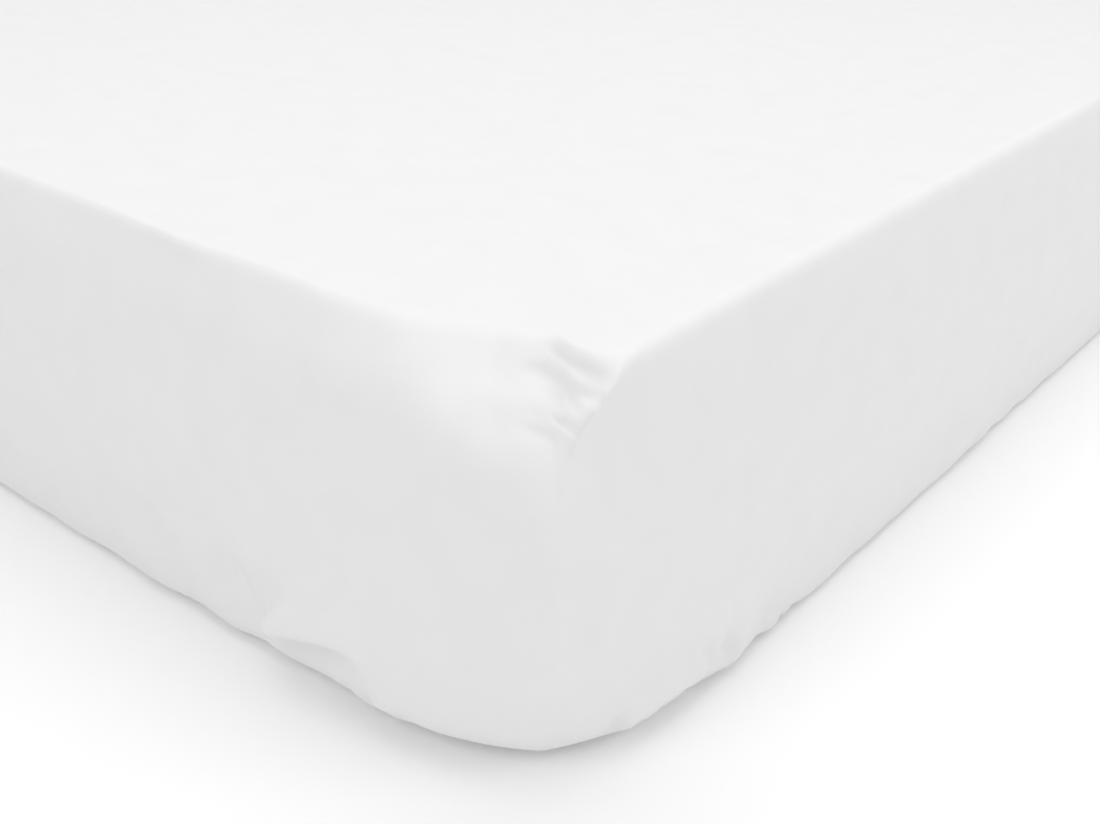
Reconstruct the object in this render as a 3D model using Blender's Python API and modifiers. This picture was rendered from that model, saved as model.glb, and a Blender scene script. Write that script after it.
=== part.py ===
"""A fitted sheet pulled over a plain mattress, with +Z up and the origin under the middle of the bed.

The sheet starts flat, as it is cut: a rectangle with a square out of each corner. Every point of that
cut is then carried to its place on the mattress, where the squares' edges meet in four upright seams,
and the folds of the tables below are raised or sunk in it. Lengths are in metres, those in the tables
in millimetres and their angles in degrees.
"""
import math

import bmesh
import bpy
import numpy as np
from mathutils import Matrix

MM = 0.001

# The mattress that the sheet is cut for, and the cloth
WIDTH = 1.40
LENGTH = 2.00
DEPTH = 0.25
TUCK = 0.05
DROP = DEPTH + TUCK
CLOTH = 0.002

# How the cloth stands out at the sides and turns under
END_SWELL = 0.0065
SIDE_SWELL = 0.0055
SWELL_FULL_AT = 0.060
SHOULDER_ENDS = (0.010, 0.060)
SWELL_EASES = (0.060, 0.190)
FOOT_BULGE = 0.010
FOOT_BULGE_REACH = 0.12
FOOT_BULGE_EASES = (0.055, 0.150)
TURN_RADIUS = 0.008
CORNER_TURN_RADIUS = 0.040
TURN_SOFTENS_AT_END = 0.190
TURN_SOFTENS_AT_SIDE = 0.135

# How the cloth goes over the top edge at each distance along it, minus at the head or foot and plus on a
# long side. It turns down by first, over crisp each way from the edge or from late below it, slopes on to
# bend, and turns upright there, over soft each way. Its face stands out by swell more than elsewhere.
EDGES = ("along", "first", "crisp", "bend", "soft", "swell", "late")
EDGE_STATIONS = (
    (-700, 72, 7, 30, 12, 0, 0),
    (-400, 74, 7, 38, 12, 0, 0),
    (-340, 73, 7, 40, 10, 0, 0),
    (-260, 77, 7, 36, 12, 0, 0),
    (-220, 71, 7, 38, 10, 1, 0),
    (-190, 66, 7, 40, 11, 3, 0),
    (-140, 61, 7, 38, 15, 6, 0),
    (-100, 57, 7, 43, 20, 6.5, 2.5),
    (-60, 47, 9, 57, 23, 6, 8),
    (-30, 48, 10, 74, 25, 5, 12),
    (-8, 49, 8, 76, 25, 4.5, 12),
    (0, 49, 7, 74, 22, 4.5, 10.5),
    (4, 49, 7, 69, 17, 4.5, 9.5),
    (8, 47, 7, 54.5, 8, 4, 8),
    (15, 45, 7, 41, 7, 3.5, 6),
    (22, 46, 7, 27.5, 7, 2.5, 4),
    (30, 48, 7, 16, 7, 1, 2),
    (41, 45, 7, 5.5, 7, 0, 0),
    (60, 45, 7, 2, 7, 0, 0),
    (1000, 45, 8, 0, 8, 0, 0),
)
EDGE_STEP = 0.001
EDGE_FROM = -0.020
EDGE_TO = 0.110
ALONG_STEP = 0.002
ALONG_REACH = 1.000
ALONG_SMOOTH = 5
TOP_EASES = (-0.16, -0.010)
SIDE_EASES = (0.07, 0.20)

# The rounded corner seen from above: how far from it the cloth starts to bend, at the top and at the
# bottom, and how much of the bend is left for the crease along the seam
TOP_REACH = 0.062
BOTTOM_REACH = 0.140
SEAM_CREASE = math.radians(10)
CREASE_STARTS = 0.030
CREASE_FULL = 0.130
GATHER_REACH = 0.35

# The cloth's slackness: how far it lifts from the top and bellies at the sides, and the waves that vary
# it, each by its length across the bed, its length along the bed and where it starts
TOP_SLACK = 0.0012
SIDE_SLACK = 0.0020
SLACK_WAVES = (
    (0.61, 1.70, 0.4),
    (-1.10, 0.53, 1.9),
    (0.83, 0.95, 3.3),
)

# Lines of the flat cut, as runs from the middle outwards: start, end and spacing
RUNS = ("start", "end", "spacing")
WIDTH_RUNS = (
    (0.00, 0.40, 0.0250),
    (0.40, 0.56, 0.0100),
    (0.56, 0.70, 0.0050),
)
LENGTH_RUNS = (
    (0.00, 0.70, 0.0250),
    (0.70, 0.86, 0.0100),
    (0.86, 1.00, 0.0050),
)
DROP_RUNS = (
    (0.00, 0.06, 0.0050),
    (0.06, 0.18, 0.0100),
    (0.18, 0.30, 0.0050),
)

# Folds near a corner. along: distance of the fold's middle from the corner, minus at the head or foot,
# plus on a long side. drop: distance below the top edge. heading: 0 runs towards plus, 90 straight down.
# reach: half its length. left, right: the widths of its flanks, looking along the heading.
# height: how far it stands out, or is sunk if negative.
FOLDS = ("along", "drop", "heading", "reach", "left", "right", "height")
NEAR_CORNER_FOLDS = (
    (19.5, 24.5, 125, 26, 7, 8, -2.4),
    (17, 15, -14, 15, 7, 7, -2.5),
    (3, 22, 5, 13, 7, 7, 0.8),
    (-3, 31, 8, 14, 7, 7, -1.8),
    (17, 27, -30, 9, 7, 7, -1.8),
    (5.5, 50, -20, 9, 7, 7, -2.2),
    (-2, 44, 20, 13, 7, 7, 1.2),
    (-6, 60, 16, 16, 7, 8, -1.4),
    (-27, 43, 16, 26, 8, 9, 1.1),
    (14, 104, 0, 30, 30, 44, 5.0),
    (-192, 214, 120, 30, 14, 7, 4.5),
    (-162, 224, -12, 44, 16, 12, 4.0),
    (-225, 206, 46, 34, 10, 16, -3.5),
    (-106, 222, 126, 15, 9, 7, 2.5),
    (-118, 234, -15, 14, 7, 7, -2.5),
    (-322, 195, 24, 36, 12, 15, -3.0),
    (-330, 232, 24, 22, 9, 9, 2.0),
    (-185, 170, 17, 26, 14, 14, 2.0),
    (45, 227, 90, 15, 7, 7, -2.5),
    (59, 232, 95, 14, 7, 7, 2.5),
    (128, 212, 52, 18, 7, 7, -3.6),
    (140, 200, 80, 24, 7, 7, 2.5),
    (153, 222, 55, 17, 7, 7, -4.5),
    (172, 226, 120, 18, 8, 8, 3.0),
    (205, 228, -10, 24, 9, 9, -2.5),
    (510, 231, 172, 56, 12, 12, 3.0),
    (472, 218, 178, 60, 14, 14, -3.0),
    (267, 26, 12, 30, 14, 18, 1.6),
    (-268, 12, 14, 34, 7, 9, -1.8),
)
LEFT_FOOT_FOLDS = (
    (-24, 17, 40, 24, 8, 12, 4.5),
    (-8, 6, 160, 18, 7, 7, -3.5),
    (10, 14, 165, 22, 7, 8, -2.6),
    (4, 34, 12, 16, 7, 8, -2.2),
    (170, 222, 60, 30, 12, 9, 4.5),
    (140, 226, 200, 26, 9, 9, -3.5),
    (-130, 224, 60, 24, 9, 9, -3.0),
    (-210, 230, 40, 30, 11, 11, 2.5),
    (300, 200, 155, 40, 14, 14, -2.5),
    (-330, 210, 20, 36, 13, 13, -2.0),
)
RIGHT_HEAD_FOLDS = (
    (-20, 22, 60, 25, 12, 8, 4.5),
    (-2, 5, 10, 16, 7, 7, -3.8),
    (12, 20, 35, 18, 7, 7, -2.6),
    (-140, 225, 125, 28, 12, 9, 4.0),
    (-112, 230, -25, 24, 9, 9, -3.5),
    (96, 224, 55, 22, 9, 9, -3.0),
    (190, 222, 130, 22, 9, 9, -2.2),
    (250, 206, 30, 40, 14, 14, -2.5),
    (-300, 204, 150, 38, 14, 14, -2.5),
)
LEFT_HEAD_FOLDS = (
    (22, 20, 125, 24, 8, 12, 4.5),
    (14, 4, 15, 17, 7, 7, -3.5),
    (-8, 16, 30, 20, 7, 7, -2.6),
    (150, 224, 60, 28, 9, 12, 4.0),
    (122, 230, 200, 24, 9, 9, -3.5),
    (-96, 226, 118, 22, 9, 9, -3.0),
    (-180, 234, 45, 26, 9, 9, -2.5),
    (-260, 208, 150, 40, 14, 14, -2.5),
)
CORNER_FOLDS = {
    (1, -1): NEAR_CORNER_FOLDS,
    (-1, -1): LEFT_FOOT_FOLDS,
    (1, 1): RIGHT_HEAD_FOLDS,
    (-1, 1): LEFT_HEAD_FOLDS,
}

# Gathers that the elastic draws in the hem. side: -1 head or foot, 1 long side, of each corner.
# first, last: where they start and end, from the corner. pitch: from one to the next. height: of each.
# climb: how far up the side they reach. lean: how far their tops shift away from the corner.
GATHERS = ("side", "first", "last", "pitch", "height", "climb", "lean")
HEM_GATHERS = (
    (1, 25, 260, 23, 3.0, 22, 10),
    (1, 90, 700, 61, 1.8, 40, 26),
    (-1, 30, 180, 34, 1.6, 20, 12),
    (-1, 110, 560, 73, 2.2, 44, 30),
)
FADE_IN = 40
CORNER_SHIFT = 17

# The mattress under the cloth: sections from the bottom up
SECTIONS = ("height", "inset", "radius")
MATTRESS_SECTIONS = (
    (0.0, 70, 72),
    (2.3, 68, 74),
    (2.5, 36, 104),
    (5, 26, 113),
    (9, 19, 118),
    (22, 9, 126),
    (60, 7, 122),
    (140, 7, 106),
    (200, 7, 98),
    (229, 9, 112),
    (242, 15, 124),
    (247.6, 30, 116),
)
ARC_STEPS = 9

# Triangles kept on each side of the cloth
SHEET_FACES = 5000

COTTON_WHITE = (0.86, 0.865, 0.86, 1.0)
TICKING_WHITE = (0.78, 0.77, 0.74, 1.0)


def smooth_step(value, start, end):
    """0 up to start, 1 from end on, and an even slope between."""
    share = np.clip((value - start) / (end - start), 0.0, 1.0)
    return share * share * (3.0 - 2.0 * share)


def run_lines(runs):
    """Positions of the lines that the runs describe, the last end included."""
    lines = []
    for start, end, spacing in runs:
        count = round((end - start) / spacing)
        lines += [start + (end - start) * step / count for step in range(count)]
    return lines + [runs[-1][1]]


def mirrored_lines(runs):
    """The same lines on both sides of the middle, with the drop's lines past each end."""
    inner = run_lines(runs)
    outer = [inner[-1] + drop for drop in run_lines(DROP_RUNS)[1:]]
    half = inner + outer
    return [-place for place in reversed(half[1:])] + half


def cut_cloth(mesh):
    """The flat cut: a grid on the lines above, with a square taken out of each corner."""
    across = mirrored_lines(WIDTH_RUNS)
    along = mirrored_lines(LENGTH_RUNS)
    columns = len(across) - 1
    rows = len(along) - 1
    cloth = bmesh.new()
    bmesh.ops.create_grid(cloth, x_segments=columns, y_segments=rows, size=1.0)
    for vert in cloth.verts:
        vert.co.x = across[round((vert.co.x + 1) / 2 * columns)]
        vert.co.y = along[round((vert.co.y + 1) / 2 * rows)]
    squares = []
    for face in cloth.faces:
        middle = face.calc_center_median()
        if abs(middle.x) > WIDTH / 2 and abs(middle.y) > LENGTH / 2:
            squares.append(face)
    bmesh.ops.delete(cloth, geom=squares, context="FACES")
    cloth.to_mesh(mesh)
    cloth.free()


def edge_values(along):
    """The values of the edge's table at each distance along it, evened out a little."""
    at = dict(zip(EDGES, np.array(EDGE_STATIONS).T))
    places = np.arange(-ALONG_REACH, ALONG_REACH + ALONG_STEP / 2, ALONG_STEP)
    even = np.ones(ALONG_SMOOTH) / ALONG_SMOOTH
    even = np.convolve(even, even)
    values = {}
    for name in EDGES[1:]:
        line = np.pad(np.interp(places, at["along"] * MM, at[name]), ALONG_SMOOTH - 1, mode="edge")
        values[name] = np.interp(along, places, np.convolve(line, even, mode="valid"))
    return values


def edge_slope(down, along):
    """How steeply the cloth slopes at each distance down from the top edge, at each distance along it."""
    values = edge_values(along)
    first = np.radians(values["first"])
    crisp, bend, soft, late = (values[name] * MM for name in ("crisp", "bend", "soft", "late"))
    start = first * smooth_step(down, late - crisp, late + crisp)
    return start + (math.pi / 2 - first) * smooth_step(down, bend - soft, bend + soft)


def edge_tables():
    """Over a grid of along and down: how far the cloth still runs outwards, and how far it has fallen."""
    along = np.arange(-ALONG_REACH, ALONG_REACH + ALONG_STEP / 2, ALONG_STEP)[:, None]
    down = np.arange(EDGE_FROM, EDGE_TO, EDGE_STEP) + EDGE_STEP / 2
    slope = edge_slope(down[None, :], along)
    left = np.cumsum(np.cos(slope[:, ::-1]), axis=1)[:, ::-1] * EDGE_STEP
    fallen = np.cumsum(np.sin(slope), axis=1) * EDGE_STEP
    return (np.pad(left, ((0, 0), (0, 1))), np.pad(fallen, ((0, 0), (1, 0))))


def look_up(table, down, along):
    """Values of an edge table between its lines."""
    column = np.clip((down - EDGE_FROM) / EDGE_STEP, 0, table.shape[1] - 1.001)
    row = np.clip((along + ALONG_REACH) / ALONG_STEP, 0, table.shape[0] - 1.001)
    column_at, row_at = column.astype(int), row.astype(int)
    column, row = column - column_at, row - row_at
    lower = table[row_at, column_at] * (1 - column) + table[row_at, column_at + 1] * column
    upper = table[row_at + 1, column_at] * (1 - column) + table[row_at + 1, column_at + 1] * column
    return lower * (1 - row) + upper * row


def box_place(x, y):
    """Where points of the flat cut lie: drop below the top edge, distance along the edge from the
    corner, minus at the head or foot, and whether a long side is the nearest."""
    past_x = np.abs(x) - WIDTH / 2
    past_y = np.abs(y) - LENGTH / 2
    drop = np.maximum(past_x, past_y)
    along = np.abs(past_x - past_y)
    on_side = drop > 0
    along = np.where(on_side, np.where(past_x > past_y, -past_y, -past_x), along)
    drawn_in = tucked_inset(drop) * smooth_step(along, 0.0, GATHER_REACH)
    long_side = past_x > past_y
    return drop, np.where(long_side, along - drawn_in, drawn_in - along), long_side


def tucked_inset(drop):
    """How far under the bed the cloth lies at each drop."""
    return np.maximum(drop - DEPTH, 0.0)


def swell_width(drop, along):
    """How far the cloth stands out from the box below the edge, and how much of that the edge's own
    shape already gives."""
    shoulder = 1 - smooth_step(along, *SHOULDER_ENDS)
    long_share = smooth_step(along, -0.06, 0.06)
    full = END_SWELL + (SIDE_SWELL - END_SWELL) * long_share
    rise = 1 - (1 - np.clip(drop / SWELL_FULL_AT, 0.0, 1.0)) ** 2
    fall = 1 - smooth_step(drop, DEPTH, DROP)
    bulge = FOOT_BULGE * np.exp(-(along / FOOT_BULGE_REACH) ** 2) * smooth_step(drop, *FOOT_BULGE_EASES)
    more = edge_values(along)["swell"] * MM
    bulge += more * (1 - smooth_step(drop, *SWELL_EASES))
    return (full * (shoulder + (1 - shoulder) * rise) + bulge) * fall, full * shoulder + more


def profile(drop, along):
    """Down one side of the bed: insets of the cloth's outside from the box's face, with and without its
    swell, its height and its upward tilt."""
    left_table, fallen_table = edge_tables()
    swell, kept = swell_width(drop, along)
    whole = look_up(left_table, np.full_like(drop, EDGE_FROM), along) + EDGE_FROM - kept
    spare = EDGE_TO - look_up(fallen_table, np.full_like(drop, EDGE_TO), along)
    top_share = smooth_step(drop, *TOP_EASES)
    down = drop + whole * (1 - top_share) + spare * smooth_step(drop, *SIDE_EASES)
    left = look_up(left_table, down, along) + np.maximum(EDGE_FROM - down, 0.0)
    fallen = look_up(fallen_table, down, along) + np.maximum(down - EDGE_TO, 0.0)
    at_edge = look_up(left_table, np.zeros_like(drop), along)
    inset = np.where(drop < 0, left - kept, (at_edge - kept) * left / at_edge)
    inset = np.maximum(inset, 0.0) + tucked_inset(drop)
    face_inset = np.where(drop < 0, inset, left - swell)

    turn_softens = np.where(along > 0, TURN_SOFTENS_AT_SIDE, TURN_SOFTENS_AT_END)
    turn = TURN_RADIUS + (CORNER_TURN_RADIUS - TURN_RADIUS) * np.exp(-(along / turn_softens) ** 2)
    past = drop - DEPTH
    under = np.clip((1 + past / turn) * math.pi / 4, 0.0, math.pi / 2)
    at_turn = np.abs(past) < turn
    below = past >= turn
    height = np.select([at_turn, below], [turn * (1 - np.sin(under)), 0.0], DEPTH - fallen)
    face_inset = np.select(
        [at_turn, below], [turn * (1 - np.cos(under)) - swell, inset - swell], face_inset)
    tilt = math.pi / 2 - edge_slope(down, along) - under
    return face_inset, inset, height, tilt


def slack_height(x, y, drop, along):
    """The cloth's slight slackness in metres: long low waves on the top, and others at the sides, which
    die out towards the corners."""
    wave = np.zeros_like(x)
    for wave_x, wave_y, start in SLACK_WAVES:
        wave += np.sin(2 * math.pi * (x / wave_x + y / wave_y) + start) / len(SLACK_WAVES)
    wave *= smooth_step(along, 0.0, 0.15)
    down = np.clip(drop / DEPTH, 0.0, 1.0)
    belly = SIDE_SLACK * np.sin(math.pi * down) * (1 + 0.4 * wave)
    lift = TOP_SLACK * (1 + wave) / 2 * smooth_step(-drop, 0.0, 0.15)
    return np.where(drop > 0, belly, lift)


def corner_place(drop, along, inset, face_inset):
    """Insets from the near face and from the other face, with the corner rounded seen from above, and
    the direction that the cloth faces there."""
    share = smooth_step(drop, 0.0, DEPTH)
    reach = TOP_REACH + (BOTTOM_REACH - TOP_REACH) * share
    bend = math.pi / 4 - SEAM_CREASE * smooth_step(drop, CREASE_STARTS, CREASE_FULL)
    radius = reach / (np.sin(bend) + 1 - np.cos(bend))
    arc_radius = np.maximum(radius - face_inset, 1e-6)
    last = np.arccos(np.clip((radius - reach) / (math.sqrt(2) * arc_radius), -1, 1)) - math.pi / 4
    room = np.maximum(reach - inset, 1e-6)
    nearness = np.clip(1 - along / room, 0.0, 1.0)
    angle = last * nearness
    bent = (inset < reach) & (along < room)
    near = np.where(bent, radius - arc_radius * np.cos(angle), face_inset)
    far = np.where(bent, reach - arc_radius * np.sin(angle), inset + along)
    return near, far, nearness * math.pi / 4


def fold_height(folds, along, drop):
    """How far the folds of one corner stand out at each point, in metres."""
    total = np.zeros_like(drop)
    for fold in folds:
        row = dict(zip(FOLDS, fold))
        heading = math.radians(row["heading"])
        aside = along / MM - row["along"]
        down = drop / MM - row["drop"]
        length = aside * math.cos(heading) + down * math.sin(heading)
        off = down * math.cos(heading) - aside * math.sin(heading)
        flank = np.where(off > 0, row["right"], row["left"])
        ends = np.clip(1 - (length / row["reach"] / 1.4) ** 2, 0.0, 1.0) ** 2
        total += row["height"] * MM * ends * np.exp(-(off / flank) ** 2)
    return total


def gather_height(along, drop, corner):
    """How far the gathers of the hem sink in or stand out at each point, in metres."""
    total = np.zeros_like(drop)
    start = CORNER_SHIFT * (corner[0] + 2 * corner[1])
    for gather in HEM_GATHERS:
        row = dict(zip(GATHERS, gather))
        distance = row["side"] * along / MM
        up = (DEPTH - drop) / MM
        run = smooth_step(distance, row["first"], row["first"] + FADE_IN)
        run = run * (1 - smooth_step(distance, row["last"] - FADE_IN, row["last"]))
        phase = (distance - up * row["lean"] / row["climb"] + start) / row["pitch"] * 2 * math.pi
        wobble = np.sin(phase * 0.31 + corner[0]) * 1.1
        size = 0.62 + 0.38 * np.sin(phase * 0.17 + 2 * corner[1])
        level = np.exp(-(np.maximum(up, 0) / row["climb"]) ** 2)
        level = level * (1 - smooth_step(-up, 2, TUCK / MM * 0.6))
        wave = 0.5 * np.sin(phase + wobble) - 0.5
        total += row["height"] * MM * run * level * size * wave
    return total


def lay_on_mattress(flat):
    """Places on the bed of points of the flat cut, given as rows of x and y."""
    x, y = flat[:, 0], flat[:, 1]
    side_x = np.where(x < 0, -1.0, 1.0)
    side_y = np.where(y < 0, -1.0, 1.0)
    drop, along, long_side = box_place(x, y)
    face_inset, inset, height, tilt = profile(drop, along)
    near, far, facing = corner_place(drop, np.abs(along), inset, face_inset)
    relief = slack_height(x, y, drop, np.abs(along))
    for corner, folds in CORNER_FOLDS.items():
        here = (side_x == corner[0]) & (side_y == corner[1])
        relief[here] += fold_height(folds, along[here], drop[here])
        relief[here] += gather_height(along[here], drop[here], corner)
    outward = relief * np.cos(tilt)
    near = near - outward * np.cos(facing)
    far = far - outward * np.sin(facing)
    height = np.maximum(height + relief * np.sin(tilt), 0.0)
    inset_x = np.where(long_side, near, far)
    inset_y = np.where(long_side, far, near)
    return np.column_stack((side_x * (WIDTH / 2 - inset_x), side_y * (LENGTH / 2 - inset_y), height))


def join_seams(mesh):
    """Sew the edges of the squares together, now that they lie on each other."""
    cloth = bmesh.new()
    cloth.from_mesh(mesh)
    bmesh.ops.remove_doubles(cloth, verts=cloth.verts, dist=1e-5)
    cloth.to_mesh(mesh)
    cloth.free()


def plain_material(name, colour, roughness):
    """A material of one colour."""
    material = bpy.data.materials.new(name)
    material.use_nodes = True
    shader = material.node_tree.nodes["Principled BSDF"]
    shader.inputs["Base Color"].default_value = colour
    shader.inputs["Roughness"].default_value = roughness
    return material


def make_sheet(collection):
    """The cloth: cut, laid on the mattress, sewn, thinned out where it is flat, and made thick."""
    mesh = bpy.data.meshes.new("fitted_sheet")
    cut_cloth(mesh)
    places = np.empty(len(mesh.vertices) * 3)
    mesh.vertices.foreach_get("co", places)
    mesh.vertices.foreach_set("co", lay_on_mattress(places.reshape(-1, 3)[:, :2]).ravel())
    join_seams(mesh)
    mesh.shade_smooth()
    sheet = bpy.data.objects.new("fitted_sheet", mesh)
    collection.objects.link(sheet)
    thin_out = sheet.modifiers.new("Thin out", "DECIMATE")
    thin_out.ratio = SHEET_FACES / (2 * len(mesh.polygons))
    thickness = sheet.modifiers.new("Cloth", "SOLIDIFY")
    thickness.thickness = CLOTH
    thickness.offset = -1.0
    mesh.materials.append(plain_material("cotton", COTTON_WHITE, 0.85))
    return sheet


def add_section(body, height, inset, radius):
    """One level ring of the mattress: a rectangle with round corners. Returns its edges."""
    steps = 4 * ARC_STEPS
    ring = bmesh.ops.create_circle(body, segments=steps, radius=radius)["verts"]
    bmesh.ops.rotate(body, verts=ring, matrix=Matrix.Rotation(math.pi / steps, 3, "Z"))
    shift_x = WIDTH / 2 - inset - radius
    shift_y = LENGTH / 2 - inset - radius
    for vert in ring:
        vert.co.x += math.copysign(shift_x, vert.co.x)
        vert.co.y += math.copysign(shift_y, vert.co.y)
        vert.co.z = height
    return list({edge for vert in ring for edge in vert.link_edges})


def make_mattress(collection):
    """The mattress: its sections joined one to the next, and closed at the bottom and the top."""
    body = bmesh.new()
    rings = []
    for section in MATTRESS_SECTIONS:
        row = dict(zip(SECTIONS, section))
        rings.append(add_section(body, row["height"] * MM, row["inset"] * MM, row["radius"] * MM))
    for lower, upper in zip(rings, rings[1:]):
        bmesh.ops.bridge_loops(body, edges=lower + upper)
    for end in (rings[0], rings[-1]):
        bmesh.ops.contextual_create(body, geom=end)
    bmesh.ops.recalc_face_normals(body, faces=body.faces)
    mesh = bpy.data.meshes.new("mattress")
    body.to_mesh(mesh)
    body.free()
    mesh.shade_smooth()
    mesh.set_sharp_from_angle(angle=math.radians(35))
    mesh.materials.append(plain_material("ticking", TICKING_WHITE, 0.8))
    mattress = bpy.data.objects.new("mattress", mesh)
    collection.objects.link(mattress)
    return mattress


def main():
    for old in list(bpy.data.objects):
        bpy.data.objects.remove(old)
    collection = bpy.data.collections.new("fitted_sheet_on_mattress")
    bpy.context.scene.collection.children.link(collection)
    make_mattress(collection)
    make_sheet(collection)


main()
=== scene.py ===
import math

import bmesh
import bpy
import numpy as np
from bpy.props import FloatProperty, FloatVectorProperty, IntProperty, PointerProperty
from mathutils import Matrix, Vector


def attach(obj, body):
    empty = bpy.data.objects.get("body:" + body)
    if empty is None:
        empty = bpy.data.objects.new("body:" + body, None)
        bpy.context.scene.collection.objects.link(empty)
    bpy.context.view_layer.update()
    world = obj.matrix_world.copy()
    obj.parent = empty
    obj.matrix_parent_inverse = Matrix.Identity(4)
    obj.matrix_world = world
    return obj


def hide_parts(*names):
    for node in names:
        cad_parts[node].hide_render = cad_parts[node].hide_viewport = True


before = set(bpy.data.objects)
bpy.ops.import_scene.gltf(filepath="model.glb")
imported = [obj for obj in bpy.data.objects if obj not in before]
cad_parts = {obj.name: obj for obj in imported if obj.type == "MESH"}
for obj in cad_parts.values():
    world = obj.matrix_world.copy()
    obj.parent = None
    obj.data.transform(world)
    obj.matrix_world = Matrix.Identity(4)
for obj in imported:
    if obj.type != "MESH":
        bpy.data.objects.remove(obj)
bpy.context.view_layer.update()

bl_info = {
    "name": "Fitted Sheet on a Mattress",
    "version": (1, 0, 0),
    "blender": (4, 5, 0),
    "location": "3D View > Sidebar > Fitted Sheet",
    "description": "Lays a cotton fitted sheet over a plain mattress and lights it softly",
    "category": "Object",
}

# A fitted sheet pulled over a plain mattress, with +Z up and the origin under the middle of the bed.
# Lengths are in metres, those in the tables in millimetres and their angles in degrees.
#
# Every point of the flat cut has a drop, its distance below the top edge of the bed, and an along, its
# distance from the nearest corner: minus at the head or foot, plus on a long side.
MM = 0.001

# Stands in for a length of nothing where one is divided by
SMALLEST_LENGTH = 1e-6

# How far the cloth bends from the corner, seen from above, at the top and at the bottom, and how much
# of the bend is left for the crease along the seam, with the drops where that starts and is full
TOP_REACH = 0.062
BOTTOM_REACH = 0.140
SEAM_CREASE = math.radians(10)
CREASE_STARTS = 0.030
CREASE_FULL = 0.130

# How far from a corner the cloth under the bed is drawn along it in full, and how far from a corner
# the wide turn under the bed narrows
GATHER_REACH = 0.35
TURN_SOFTENS_AT_END = 0.190
TURN_SOFTENS_AT_SIDE = 0.135

# How the cloth stands out: the drop where it does in full, from and to along where the shoulder ends
# that has it in full from the edge on, and where the size at an end goes over into that at a side
SWELL_FULL_AT = 0.060
SHOULDER_ENDS = (0.010, 0.060)
SIDE_BLEND = (-0.06, 0.06)

# The bulge low down at each corner: its size, its reach along, and from and to drop where it comes
FOOT_BULGE = 0.010
FOOT_BULGE_REACH = 0.12
FOOT_BULGE_EASES = (0.055, 0.150)

# How the cloth goes over the top edge at each distance along it. It turns down by first, over crisp each
# way from the edge or from late below it, slopes on to bend, and turns upright there, over soft each way.
# Its face stands out by swell more than elsewhere, which fades between SWELL_EASES.
EDGES = ("along", "first", "crisp", "bend", "soft", "swell", "late")
EDGE_STATIONS = (
    (-700, 72, 6, 30, 12, 0, 0),
    (-400, 74, 6, 38, 12, 0, 0),
    (-340, 73, 5, 40, 9, 0, 0),
    (-260, 77, 5, 36, 12, 0, 0),
    (-220, 71, 5, 38, 10, 1, 0),
    (-190, 66, 5, 40, 11, 3, 0),
    (-140, 61, 6, 38, 15, 6, 0),
    (-100, 57, 7, 43, 20, 6.5, 2.5),
    (-60, 47, 9, 57, 23, 6, 8),
    (-30, 48, 10, 74, 25, 5, 12),
    (-8, 49, 8, 76, 25, 4.5, 12),
    (0, 49, 6.5, 74, 22, 4.5, 10.5),
    (4, 49, 5.5, 69, 17, 4.5, 9.5),
    (8, 47, 5, 54.5, 4, 4, 8),
    (15, 45, 5, 41, 2.5, 3.5, 6),
    (22, 46, 5, 27.5, 2.5, 2.5, 4),
    (30, 48, 5, 16, 3, 1, 2),
    (41, 45, 5, 5.5, 3, 0, 0),
    (60, 45, 6.5, 2, 6, 0, 0),
    (1000, 45, 8, 0, 8, 0, 0),
)
SWELL_EASES = (0.060, 0.190)

# The tables made from the stations: their steps and ends down and along, how many steps along are
# evened out together, and how many lines before a table's end a look-up stays
EDGE_STEP = 0.0005
EDGE_FROM = -0.020
EDGE_TO = 0.100
ALONG_STEP = 0.001
ALONG_REACH = 1.000
ALONG_SMOOTH = 7
TABLE_MARGIN = 1.001

# From and to drop where the length that the edge's bend takes is made up, on the top and at the side
TOP_EASES = (-0.16, -0.010)
SIDE_EASES = (0.07, 0.20)

# The groove along the seam: its depth, its width, the drops where it starts and is at full depth, and
# from and to drop where it ends
SEAM_DEPTH = 0.0006
SEAM_WIDTH = 0.0016
SEAM_STARTS = 0.050
SEAM_FULL = 0.080
SEAM_ENDS = (0.235, 0.262)

# Waves of the cloth's slackness: each by its length across the bed, its length along it and its start.
# They come in over SLACK_REACH from a corner or an edge, and vary the belly at the sides by BELLY_WAVE.
SLACK_WAVES = (
    (0.61, 1.70, 0.4),
    (-1.10, 0.53, 1.9),
    (0.83, 0.95, 3.3),
)
SLACK_REACH = 0.15
BELLY_WAVE = 0.4

# Lines of the flat cut, as runs from the middle outwards: start, end and spacing
WIDTH_RUNS = (
    (0.000, 0.480, 0.0400),
    (0.480, 0.684, 0.0170),
    (0.684, 0.696, 0.0040),
    (0.696, 0.700, 0.0020),
)
LENGTH_RUNS = (
    (0.000, 0.780, 0.0390),
    (0.780, 0.984, 0.0170),
    (0.984, 0.996, 0.0040),
    (0.996, 1.000, 0.0020),
)
DROP_RUNS = (
    (0.000, 0.012, 0.0040),
    (0.012, 0.232, 0.0110),
    (0.232, 0.268, 0.0040),
    (0.268, 0.300, 0.0064),
)

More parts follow.
